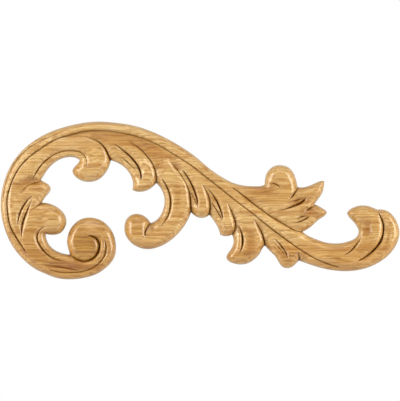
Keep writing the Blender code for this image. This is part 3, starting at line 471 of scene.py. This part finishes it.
# The boards that the blank is glued from, and darker figure in them: left, right, bottom and top in
# squares, the tint, and how far the rings are shifted. A later one lies over those before it. The
# tints are partly the boards' own tone and partly painted light, paler along the top and darker
# towards the bottom; the last four, small patches over hollows, are painted shade
BOARD_TINTS_AND_PAINTED_LIGHT = (
    (-210.0, 210.0, 33.5, 90.0, (1.03, 1.05, 1.10), 0.45),
    (-210.0, 210.0, 58.0, 90.0, (1.05, 1.11, 1.27), 0.20),
    (-210.0, 210.0, 15.5, 33.5, (1.00, 1.01, 1.02), 0.80),
    (-210.0, 210.0, -28.5, 15.5, (1.00, 1.00, 1.00), 0.30),
    (-210.0, -40.0, -28.5, -14.0, (0.93, 0.90, 0.85), 0.30),
    (-210.0, -10.0, -41.0, -28.5, (0.92, 0.86, 0.76), 0.55),
    (-10.0, 210.0, -41.0, -28.5, (1.00, 1.00, 0.98), 0.10),
    (-210.0, -10.0, -90.0, -41.0, (0.84, 0.73, 0.53), 0.15),
    (-10.0, 210.0, -90.0, -41.0, (0.95, 0.88, 0.76), 0.65),
    (-10.0, 105.0, -90.0, -52.0, (0.87, 0.77, 0.58), 0.20),
    (-130.0, -80.0, -90.0, -66.0, (0.80, 0.68, 0.46), 0.50),
    (-126.5, -99.0, -60.0, -34.5, (0.72, 0.60, 0.30), 0.95),
    (-190.0, -164.0, -30.5, -27.5, (0.80, 0.67, 0.48), 0.75),
    (-200.0, -163.0, -40.0, -30.5, (0.84, 0.75, 0.58), 0.40),
    (-177.0, -163.0, -48.0, -40.0, (0.78, 0.65, 0.45), 0.75),
    (-190.0, -158.0, 10.5, 18.5, (0.85, 0.78, 0.64), 0.60),
    (43.0, 57.0, -54.5, -50.0, (0.78, 0.66, 0.46), 0.30),
    (66.0, 98.0, 2.0, 8.0, (0.90, 0.85, 0.74), 0.30),
    (100.0, 118.0, -18.0, -6.0, (0.86, 0.80, 0.68), 0.30),
)

# The rings: how many to a millimetre, upwards and inwards, and how many a board's shift, the slow
# wave and the fine ripple move them
RINGS_UP = 0.46
RINGS_INWARDS = 0.40
RINGS_SHIFTED = 7.0
RINGS_WAVED = 5.0
RINGS_RIPPLED = 0.45

# How dark the wood is through one ring, from the start of its early wood
RING_SHADE = (
    (0.00, (0.00,) * 3), (0.12, (1.00,) * 3), (0.38, (0.45,) * 3), (0.65, (0.10,) * 3),
    (1.00, (0.00,) * 3),
)

# Millimetres to a metre: the wood is drawn in millimetres
MILLIMETRES = 1000.0

# The patterns of the wood: their turns to a millimetre along the piece, inwards and upwards
WAVE = (0.018, 0.12, 0.12)
RIPPLE = (0.04, 0.45, 0.45)
PORE = (0.04, 1.4, 1.4)
FIBRE = (0.022, 1.3, 1.3)
STREAK = (0.018, 0.42, 0.42)
CLOUD = (0.012, 0.06, 0.06)

# Over which values of its pattern a streak, a cloud or a pore comes up, and how strong it gets
STREAK_RANGE = (0.46, 0.68)
STREAK_SHARE = 0.75
CLOUD_RANGE = (0.35, 0.65)
CLOUD_SHARE = 0.4
PORE_RANGE = (0.52, 0.70)
PORE_SHARE = 0.75

# The share of the pores that stand in all of the wood, and the rest, in the early wood alone
PORES_ANYWHERE = 0.3
PORES_EARLY = 0.7

# The colours of the wood
LATE_WOOD = (0.88, 0.665, 0.360, 1.0)
EARLY_WOOD = (0.64, 0.395, 0.115, 1.0)
STREAK_BROWN = (0.48, 0.225, 0.032, 1.0)
CLOUD_BROWN = (0.59, 0.33, 0.065, 1.0)
PORE_BROWN = (0.22, 0.100, 0.028, 1.0)
FIBRE_SHADE = ((0.25, (0.65, 0.54, 0.36)), (0.5, (0.82, 0.79, 0.72)), (0.75, (0.97, 1.00, 1.00)))

# The painted light: a painted highlight on a ridge, the even face and painted shade in a hollow,
# then painted shade at the rounded edge and in a cut, with the values of edge and cut over which
# it comes up
FACE_PAINTED_LIGHT = ((0.0, (1.00, 1.00, 1.00)), (0.5, (0.90, 0.87, 0.80)), (1.0, (0.70, 0.55, 0.32)))
EDGE_PAINTED_SHADE = (0.28, 0.165, 0.085, 1.0)
EDGE_RANGE = (0.22, 0.75)
EDGE_SHARE = 0.55
CUT_PAINTED_SHADE = (0.120, 0.034, 0.002, 1.0)
CUT_RANGE = (0.0, 0.75)

# The satin varnish, and how much of it is lost in a cut
ROUGHNESS = 0.45
VARNISH_ROUGHNESS = 0.18
VARNISH_LOST = 0.95

# The room's light by height, its light behind the piece, and between which depths that comes up
ROOM_BELOW = 0.12
ROOM_ABOVE = 0.36
ROOM_BEHIND = 0.85
ROOM_RANGE = (-0.7, 1.0)

# The colour of the lamps and of the room's light, a little warm, and of the room as it is seen
LAMPLIGHT = (1.0, 0.91, 0.78)
WHITE = (1.0, 1.0, 1.0, 1.0)

# The lamps, each facing the middle of the piece: the place, the size and the power
LAMPS = {
    "left light": ((-1.25, -0.55, 0.3), (0.75, 1.1), 18.0),
    "right light": ((1.25, -0.55, 0.3), (0.75, 1.1), 18.0),
    "top light": ((0.0, -0.45, 1.0), (1.0, 0.45), 3.0),
    "front light": ((-0.2, -1.6, 0.5), (0.8, 0.8), 1.0),
}

# The floor: half its width, its level, its colour and its roughness
FLOOR_HALF = 1.2
FLOOR_LEVEL = -0.22
FLOOR_COLOUR = (0.8, 0.8, 0.8, 1.0)
FLOOR_ROUGHNESS = 0.9

# The camera: how far it stands from the depth that the picture's width is measured at, how many
# squares wide the picture is, the sensor's width in millimetres, and how far the camera sees
CAMERA_AWAY = 3.0
MEASURED_AT = -0.008
PICTURE_SQUARES = 400.0
SENSOR = 36.0
FAR_END = 20.0


def run_length(line):
    """The length run along a line up to each of its points."""
    return np.concatenate([[0.0], np.cumsum(np.hypot(*np.diff(line, axis=0).T))])


def smooth_curve(drawn, pitch):
    """Points in metres at a near even pitch along a smooth curve through those of the drawing."""
    p = np.array(drawn, float) * SQUARE
    last = len(p) - 1
    span = np.diff(run_length(p))
    matrix = np.zeros((last + 1, last + 1))
    wanted = np.zeros((last + 1, 2))
    for i in range(1, last):
        matrix[i, i - 1:i + 2] = span[i - 1], 2.0 * (span[i - 1] + span[i]), span[i]
        wanted[i] = 6.0 * ((p[i + 1] - p[i]) / span[i] - (p[i] - p[i - 1]) / span[i - 1])
    matrix[0, :2] = 1.0, -1.0
    matrix[last, last - 1:] = -1.0, 1.0
    bend = np.linalg.solve(matrix, wanted)
    fine = []
    for i in range(last):
        u = np.linspace(0.0, 1.0, CURVE_STEPS, endpoint=False)[:, None]
        w = 1.0 - u
        curved = (w ** 3 - w) * bend[i] + (u ** 3 - u) * bend[i + 1]
        fine.append(w * p[i] + u * p[i + 1] + span[i] ** 2 / 6.0 * curved)
    fine = np.vstack(fine + [p[-1:]])
    run = run_length(fine)
    steps = max(1, int(round(run[-1] / pitch)))
    at = np.linspace(0.0, run[-1], steps + 1)
    return np.stack([np.interp(at, run, fine[:, k]) for k in (0, 1)], axis=1)


def outline_loop(pitch):
    """The outline as one closed loop of points, a point at every corner, the wood on its left."""
    loop = np.vstack([smooth_curve(drawn, pitch)[:-1] for drawn in OUTLINE.values()])
    return loop[::-1]


def ring(loop):
    """A closed loop with its first point again at its end."""
    return np.vstack([loop, loop[:1]])


def nearest(points, line, reach):
    """Of each point: how far the line is, on which side (left is +1) and how far along it.

    A point farther away than reach gets a distance of 1 m.
    """
    away = np.ones(len(points))
    side = np.zeros(len(points))
    along = np.zeros(len(points))
    step = np.diff(line, axis=0)
    run = run_length(line)
    for first in range(0, len(step), BLOCK):
        ends = line[first:first + BLOCK + 1]
        low, high = ends.min(axis=0) - reach, ends.max(axis=0) + reach
        close = np.flatnonzero(((points >= low) & (points <= high)).all(axis=1))
        if not len(close):
            continue
        v = step[first:first + BLOCK]
        size = np.hypot(*v.T)
        to = points[close][:, None, :] - ends[None, :-1]
        t = np.clip((to * v).sum(axis=2) / size ** 2, 0.0, 1.0)
        off = to - t[..., None] * v
        far = np.hypot(off[..., 0], off[..., 1])
        best = far.argmin(axis=1)
        row = np.arange(len(close))
        far = far[row, best]
        nearer = (far < away[close]) & (far < reach)
        turn = v[best, 0] * to[row, best, 1] - v[best, 1] * to[row, best, 0]
        kept = close[nearer]
        away[kept] = far[nearer]
        side[kept] = np.sign(turn)[nearer]
        along[kept] = (run[first + best] + t[row, best] * size[best])[nearer]
    return away, side, along


def eased(share):
    """0 to 1 with a soft start and a soft end."""
    s = np.clip(share, 0.0, 1.0)
    return s * s * (3.0 - 2.0 * s)


def sunk(along, total, ends, taper):
    """How fully a cut is sunk at each place: it runs out to nothing at its open ends."""
    full = np.ones_like(along)
    if ends in ("both", "first"):
        full = full * eased(along / taper)
    if ends in ("both", "last"):
        full = full * eased((total - along) / taper)
    return full


def bevel(share):
    """1 to 0: an even slope as far as BEVEL of the way, then a curve that levels out."""
    s = np.clip(share, 0.0, 1.0)
    past = np.maximum(s - BEVEL, 0.0)
    return 1.0 - 2.0 / (1.0 + BEVEL) * (s - past ** 2 / (2.0 * (1.0 - BEVEL)))


def domes(points):
    """How far the low domes raise the face."""
    raised = np.zeros(len(points))
    for x, z, radius, height in SWELLS.values():
        away = np.hypot(points[:, 0] - x * SQUARE, points[:, 1] - z * SQUARE)
        share = np.clip(away / (radius * SQUARE), 0.0, 1.0)
        raised += height * (1.0 - share ** 2) ** 2
    return raised


def rolled(points, lines):
    """The height of rounded bands along lines, which run out to nothing at both ends."""
    height = np.zeros(len(points))
    for most, half_width, drawn in lines.values():
        line = smooth_curve(drawn, SAMPLE_PITCH)
        wide = half_width * SQUARE
        away, _, along = nearest(points, line, wide)
        share = np.clip(away / wide, 0.0, 1.0)
        full = sunk(along, run_length(line)[-1], "both", TAPER)
        height += most * full * (1.0 - share ** 2) ** 2
    return height


def relief(points, outline):
    """Of each point: the height of the face, and how much it is in a cut, a hollow and the edge."""
    reach = max(CROWN_REACH, STEEP_WIDTH, GENTLE_WIDTH, EDGE_ROUND)
    rim = nearest(points, ring(outline), reach)[0]
    inward = np.clip(rim / EDGE_ROUND, 0.0, 1.0)
    rounding = np.sqrt(1.0 - (1.0 - inward) ** 2)
    arch = 1.0 - (1.0 - np.clip(rim / CROWN_REACH, 0.0, 1.0)) ** 2
    groove = np.zeros(len(points))
    fallen = np.zeros(len(points))
    for depth, fall, lean, ends, drawn in CUTS.values():
        line = smooth_curve(drawn, SAMPLE_PITCH)
        total = run_length(line)[-1]
        away, side, along = nearest(points, line, reach)
        full = sunk(along, total, ends, TAPER) * (away < reach)
        deep = sunk(along, total, ends, CUT_TAPER) * np.interp(along / total, DEPTH_PLACES, depth)
        half_width = CUT_HALF_WIDTH * (NARROWEST + (1.0 - NARROWEST) * deep)
        groove = np.maximum(groove, deep * (1.0 - np.clip(away / half_width, 0.0, 1.0)))
        steep = {"left": side > 0.0, "right": side < 0.0, "both": away < reach}[lean]
        width = np.where(steep, STEEP_WIDTH, GENTLE_WIDTH)
        fallen = np.maximum(fallen, full * fall * FALL * bevel(away / width))
        arch = arch * (1.0 - full * (1.0 - np.clip(away / CROWN_REACH, 0.0, 1.0)) ** 2)
    gouged = rolled(points, HOLLOWS) - rolled(points, RIDGES)
    form = EDGE_DROP - FACE_DROP + CROWN * arch + domes(points) - gouged
    near_edge = EDGE_FALL + (1.0 - EDGE_FALL) * rounding
    drop = EDGE_DROP - form * rounding + fallen * near_edge + CUT_DEPTH * groove
    height = np.clip(DEPTH - drop, THINNEST, DEPTH)
    return height, groove, np.clip(gouged / FULLY_PAINTED_DEPTH, -1.0, 1.0), 1.0 - rounding


def beside(line, distance):
    """A row of points at a distance to the left of a line."""
    along = np.gradient(line, axis=0)
    along = along / np.hypot(*along.T)[:, None]
    return line + distance * np.stack([-along[:, 1], along[:, 0]], axis=1)


def inside(points, outline):
    """Which points lie within the outline."""
    found = np.zeros(len(points), bool)
    for (ax, az), (bx, bz) in zip(outline, np.roll(outline, -1, axis=0)):
        if az == bz:
            continue
        crossed = (points[:, 1] > az) != (points[:, 1] > bz)
        found ^= crossed & (points[:, 0] < ax + (points[:, 1] - az) * (bx - ax) / (bz - az))
    return found


def spaced(points, kept, gap):
    """The points that stand at least a gap away from those kept and from one another."""
    cells = {}
    for x, z in kept:
        cells.setdefault((int(x // gap), int(z // gap)), []).append((x, z))
    chosen = []
    for x, z in points:
        i, j = int(x // gap), int(z // gap)
        around = [cells.get((i + u, j + v), ()) for u in (-1, 0, 1) for v in (-1, 0, 1)]
        if all((a - x) ** 2 + (b - z) ** 2 >= gap ** 2 for cell in around for a, b in cell):
            chosen.append((x, z))
            cells.setdefault((i, j), []).append((x, z))
    return chosen


def drawn_lines(outline):
    """The points of the outline and the cuts, and the edges between them, which faces follow."""
    points = [tuple(p) for p in outline]
    edges = [(i, (i + 1) % len(outline)) for i in range(len(outline))]
    for cut in CUTS.values():
        last = None
        for p in smooth_curve(cut[4], CUT_PITCH):
            gap = np.hypot(*(outline - p).T)
            if gap.min() < SNAP * OUTLINE_PITCH:
                index = int(gap.argmin())
            else:
                index = len(points)
                points.append(tuple(p))
            if last is not None and last != index:
                edges.append((last, index))
            last = index
    return points, edges


def edge_rows(outline, points):
    """Rows of points along the rounded edge."""
    rim = ring(outline)
    found = []
    for share in EDGE_ROWS:
        distance = share * EDGE_ROUND
        row = beside(rim, distance)[:-1]
        clear = nearest(row, rim, 2.0 * distance)[0] > RIM_CLEAR * distance
        gap = min(EDGE_GAP * distance, ROW_GAP * FIELD_PITCH)
        found += spaced(row[clear & inside(row, outline)], points + found, gap)
    return found


def cut_rows(outline, points):
    """Rows of points along both sides of every cut."""
    found = []
    lines = [smooth_curve(cut[4], CUT_PITCH) for cut in CUTS.values()]
    for share in CUT_ROWS:
        distance = share * CUT_HALF_WIDTH
        row = np.vstack([beside(line, sign * distance) for line in lines for sign in (1.0, -1.0)])
        clear = nearest(row, ring(outline), distance)[0] > CUT_CLEAR * distance
        gap = min(CUT_GAP * CUT_HALF_WIDTH, ROW_GAP * distance)
        found += spaced(row[clear & inside(row, outline)], points + found, gap)
    return found


def field_points(outline, points):
    """A triangular field of points over what is left."""
    low, high = outline.min(axis=0), outline.max(axis=0)
    rows = np.arange(low[1], high[1], FIELD_PITCH * math.sqrt(0.75))
    across = np.arange(low[0], high[0], FIELD_PITCH)
    shifted = across[None, :] + 0.5 * FIELD_PITCH * (np.arange(len(rows)) % 2)[:, None]
    field = np.stack([shifted.ravel(), np.repeat(rows, len(across))], axis=1)
    return spaced(field[inside(field, outline)], points, FIELD_GAP * FIELD_PITCH)


def carved_face():
    """The carved face from the front: its points, its triangles and how many lie on its rim."""
    outline = outline_loop(OUTLINE_PITCH)
    points, edges = drawn_lines(outline)
    points += edge_rows(outline, points)
    points += cut_rows(outline, points)
    points += field_points(outline, points)
    made = delaunay_2d_cdt([Vector(p) for p in points], edges, [], 1, MERGE)
    return np.array([tuple(p) for p in made[0]]), made[2], len(outline)


def carved_mesh(name):
    """One closed body: the carved face, the side wall round its outline and the flat back."""
    flat, faces, rim = carved_face()
    height, groove, gouged, at_edge = relief(flat, outline_loop(SAMPLE_PITCH))
    count = len(flat)
    corners = np.column_stack([flat[:, 0], -height, flat[:, 1]])
    foot = np.column_stack([flat[:rim, 0], np.zeros(rim), flat[:rim, 1]])
    first = np.arange(rim)
    after = np.roll(first, -1)
    wall = [tuple(quad) for quad in np.column_stack([after, first, count + first, count + after])]
    around = [(i, (i + 1) % rim) for i in range(rim)]
    made = delaunay_2d_cdt([Vector(p) for p in flat[:rim]], around, [], 1, MERGE)
    source = [sources[0] for sources in made[3]]
    back = [tuple(count + source[i] for i in reversed(face)) for face in made[2]]
    mesh = bpy.data.meshes.new(name)
    mesh.from_pydata([tuple(p) for p in np.vstack([corners, foot])], [], list(faces) + wall + back)
    mesh.validate()
    mesh.update()
    # The cut, hollow and edge values, which set where the painted shade and highlight go
    for place, values in (("cut", groove), ("hollow", gouged), ("edge", at_edge)):
        painted_light_mask = mesh.attributes.new(place, "FLOAT", "POINT")
        painted_light_mask.data.foreach_set("value", np.concatenate([values, np.zeros(rim)]))
    # The boards' tints, with painted light in them, and the shift of the rings
    board = mesh.attributes.new("board", "FLOAT_COLOR", "POINT")
    board.data.foreach_set("color", tints_with_painted_light(np.vstack([flat, flat[:rim]])).ravel())
    mesh.shade_smooth()
    mesh.set_sharp_from_angle(angle=CREASE_ANGLE)
    return mesh


class Nodes:
    """Adds nodes to a material or a world, and joins them."""

    def __init__(self, owner):
        owner.use_nodes = True
        self.tree = owner.node_tree

    def add(self, kind, **settings):
        node = self.tree.nodes.new(kind)
        for key, value in settings.items():
            setattr(node, key, value)
        return node

    def feed(self, socket, value):
        if isinstance(value, bpy.types.NodeSocket):
            self.tree.links.new(value, socket)
        else:
            socket.default_value = value

    def attribute(self, name):
        return self.add("ShaderNodeAttribute", attribute_name=name).outputs

    def parts(self, vector):
        """The three parts of a vector."""
        node = self.add("ShaderNodeSeparateXYZ")
        self.feed(node.inputs[0], vector)
        return node.outputs

    def math(self, operation, *values, clamp=False):
        node = self.add("ShaderNodeMath", operation=operation, use_clamp=clamp)
        for socket, value in zip(node.inputs, values):
            self.feed(socket, value)
        return node.outputs[0]

    def stretched(self, place, scale):
        node = self.add("ShaderNodeVectorMath", operation="MULTIPLY")
        self.feed(node.inputs[0], place)
        self.feed(node.inputs[1], scale)
        return node.outputs[0]

    def noise(self, place, scale, detail=2.0, rough=0.5):
        node = self.add("ShaderNodeTexNoise")
        self.feed(node.inputs["Vector"], self.stretched(place, scale))
        self.feed(node.inputs["Scale"], 1.0)
        self.feed(node.inputs["Detail"], detail)
        self.feed(node.inputs["Roughness"], rough)
        return node.outputs["Fac"]

    def ranged(self, value, old, new=(0.0, 1.0), interpolation="SMOOTHSTEP"):
        """The value with the old range spread over the new one."""
        node = self.add("ShaderNodeMapRange", interpolation_type=interpolation)
        for socket, given in zip(node.inputs, (value, *old, *new)):
            self.feed(socket, given)
        return node.outputs[0]

    def ramp(self, value, stops):
        node = self.add("ShaderNodeValToRGB")
        marks = node.color_ramp.elements
        while len(marks) > 1:
            marks.remove(marks[-1])
        marks[0].position, marks[0].color = stops[0][0], (*stops[0][1], 1.0)
        for place, colour in stops[1:]:
            marks.new(place).color = (*colour, 1.0)
        self.feed(node.inputs[0], value)
        return node.outputs[0]

    def mix(self, share, one, other, blend="MIX"):
        node = self.add("ShaderNodeMix", data_type="RGBA", blend_type=blend)
        self.feed(node.inputs[0], share)
        self.feed(node.inputs[6], one)
        self.feed(node.inputs[7], other)
        return node.outputs[2]


def tints_with_painted_light(flat):
    """The tint at each point, partly the boards' own and partly painted light, with the shift of
    the rings as its fourth value.
    """
    found = np.ones((len(flat), 4))
    x, z = flat[:, 0] / SQUARE, flat[:, 1] / SQUARE
    for left, right, bottom, top, tint, shift in BOARD_TINTS_AND_PAINTED_LIGHT:
        found[(x >= left) & (x < right) & (z >= bottom) & (z < top)] = (*tint, shift)
    return found


def wood_colour(grain):
    """The wood before the painted shade of hollows, edge and cuts: its rings, streaks, clouds,
    fibres and pores, and the tint of each board, which carries painted light too.
    """
    place = grain.add("ShaderNodeTexCoord").outputs["Object"]
    place = grain.stretched(place, (MILLIMETRES,) * 3)
    parts = grain.parts(place)
    board = grain.attribute("board")
    ring = grain.math("MULTIPLY", parts["Z"], RINGS_UP)
    ring = grain.math("MULTIPLY_ADD", parts["Y"], RINGS_INWARDS, ring)
    ring = grain.math("MULTIPLY_ADD", board["Alpha"], RINGS_SHIFTED, ring)
    ring = grain.math("MULTIPLY_ADD", grain.noise(place, WAVE), RINGS_WAVED, ring)
    ring = grain.math("MULTIPLY_ADD", grain.noise(place, RIPPLE), RINGS_RIPPLED, ring)
    early = grain.ramp(grain.math("FRACT", ring), RING_SHADE)
    pores = grain.ranged(grain.noise(place, PORE), PORE_RANGE)
    spread = grain.math("MULTIPLY_ADD", early, PORES_EARLY, PORES_ANYWHERE)
    pores = grain.math("MULTIPLY", grain.math("MULTIPLY", pores, spread), PORE_SHARE)
    streaks = grain.ranged(grain.noise(place, STREAK), STREAK_RANGE, (0.0, STREAK_SHARE))
    clouds = grain.ranged(grain.noise(place, CLOUD), CLOUD_RANGE, (0.0, CLOUD_SHARE))
    fibres = grain.ramp(grain.noise(place, FIBRE, 3.0, 0.6), FIBRE_SHADE)
    colour = grain.mix(early, LATE_WOOD, EARLY_WOOD)
    colour = grain.mix(streaks, colour, STREAK_BROWN)
    colour = grain.mix(clouds, colour, CLOUD_BROWN)
    colour = grain.mix(1.0, colour, fibres, "MULTIPLY")
    colour = grain.mix(pores, colour, PORE_BROWN)
    return grain.mix(1.0, colour, board["Color"], "MULTIPLY")


def oak():
    """Pale oak under satin varnish, with painted shade in the hollows, at the edge and in the cuts,
    and a painted highlight on the ridges.
    """
    material = bpy.data.materials.new("oak")
    grain = Nodes(material)
    shader = grain.tree.nodes["Principled BSDF"]
    # Painted shade in the hollows and a painted highlight on the ridges, from how deep the hollow
    # is
    hollow = grain.math("MULTIPLY_ADD", grain.attribute("hollow")["Fac"], 0.5, 0.5)
    # Painted shade at the rounded edge
    edge = grain.ranged(grain.attribute("edge")["Fac"], EDGE_RANGE, (0.0, EDGE_SHARE))
    # Painted shade in the cuts, where the varnish is also thinned
    cut = grain.ranged(grain.attribute("cut")["Fac"], CUT_RANGE)
    colour = grain.mix(1.0, wood_colour(grain), grain.ramp(hollow, FACE_PAINTED_LIGHT), "MULTIPLY")
    colour = grain.mix(edge, colour, EDGE_PAINTED_SHADE)
    colour = grain.mix(cut, colour, CUT_PAINTED_SHADE)
    grain.feed(shader.inputs["Base Color"], colour)
    grain.feed(shader.inputs["Roughness"], ROUGHNESS)
    varnish = grain.math("MULTIPLY_ADD", cut, -VARNISH_LOST, 1.0, clamp=True)
    grain.feed(shader.inputs["Coat Weight"], varnish)
    grain.feed(shader.inputs["Coat Roughness"], VARNISH_ROUGHNESS)
    return material


def applique():
    """The carving, in place of the plain solid."""
    piece = bpy.data.objects.new("carved_applique", carved_mesh("carved applique"))
    bpy.context.scene.collection.objects.link(piece)
    piece.data.materials.append(oak())
    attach(piece, "root")
    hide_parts("applique")


def floor():
    """A plain pale floor, well below the piece."""
    mesh = bpy.data.meshes.new("floor")
    corners = [(x * FLOOR_HALF, y * FLOOR_HALF, FLOOR_LEVEL)
               for x, y in ((-1, -1), (1, -1), (1, 1), (-1, 1))]
    mesh.from_pydata(corners, [], [(0, 1, 2, 3)])
    ground = bpy.data.objects.new("floor", mesh)
    bpy.context.scene.collection.objects.link(ground)
    material = bpy.data.materials.new("pale floor")
    paint = Nodes(material)
    shader = paint.tree.nodes["Principled BSDF"]
    paint.feed(shader.inputs["Base Color"], FLOOR_COLOUR)
    paint.feed(shader.inputs["Roughness"], FLOOR_ROUGHNESS)
    mesh.materials.append(material)


def room():
    """A white room that is dimmer in front and below."""
    world = bpy.data.worlds.new("white room")
    walls = Nodes(world)
    back = walls.tree.nodes["Background"]
    way = walls.parts(walls.add("ShaderNodeTexCoord").outputs["Generated"])
    behind = walls.ranged(way["Y"], ROOM_RANGE, (0.0, ROOM_BEHIND))
    above = walls.ranged(way["Z"], (-1.0, 1.0), (ROOM_BELOW, ROOM_ABOVE), "LINEAR")
    seen = walls.add("ShaderNodeLightPath").outputs["Is Camera Ray"]
    light = walls.math("MAXIMUM", behind, above)
    walls.feed(back.inputs["Strength"], walls.math("MAXIMUM", light, seen))
    walls.feed(back.inputs["Color"], walls.mix(seen, (*LAMPLIGHT, 1.0), WHITE))
    bpy.context.scene.world = world


def lamps():
    """A long soft light on either side, one above and a weak one in front."""
    for name, (place, size, power) in LAMPS.items():
        lamp = bpy.data.lights.new(name, "AREA")
        lamp.shape = "RECTANGLE"
        lamp.size, lamp.size_y = size
        lamp.energy = power
        lamp.color = LAMPLIGHT
        light = bpy.data.objects.new(name, lamp)
        light.location = place
        light.rotation_euler = (-Vector(place)).to_track_quat("-Z", "Y").to_euler()
        bpy.context.scene.collection.objects.link(light)


def camera():
    """Straight on through a long lens."""
    lens = bpy.data.cameras.new("camera")
    lens.sensor_fit = "HORIZONTAL"
    lens.sensor_width = SENSOR
    lens.lens = SENSOR * CAMERA_AWAY / (PICTURE_SQUARES * SQUARE)
    lens.clip_end = FAR_END
    eye = bpy.data.objects.new("camera", lens)
    eye.location = (0.0, MEASURED_AT - CAMERA_AWAY, 0.0)
    eye.rotation_euler = (math.pi / 2.0, 0.0, 0.0)
    bpy.context.scene.collection.objects.link(eye)
    bpy.context.scene.camera = eye


applique()
floor()
room()
lamps()
camera()
bpy.context.scene.view_settings.view_transform = "Standard"
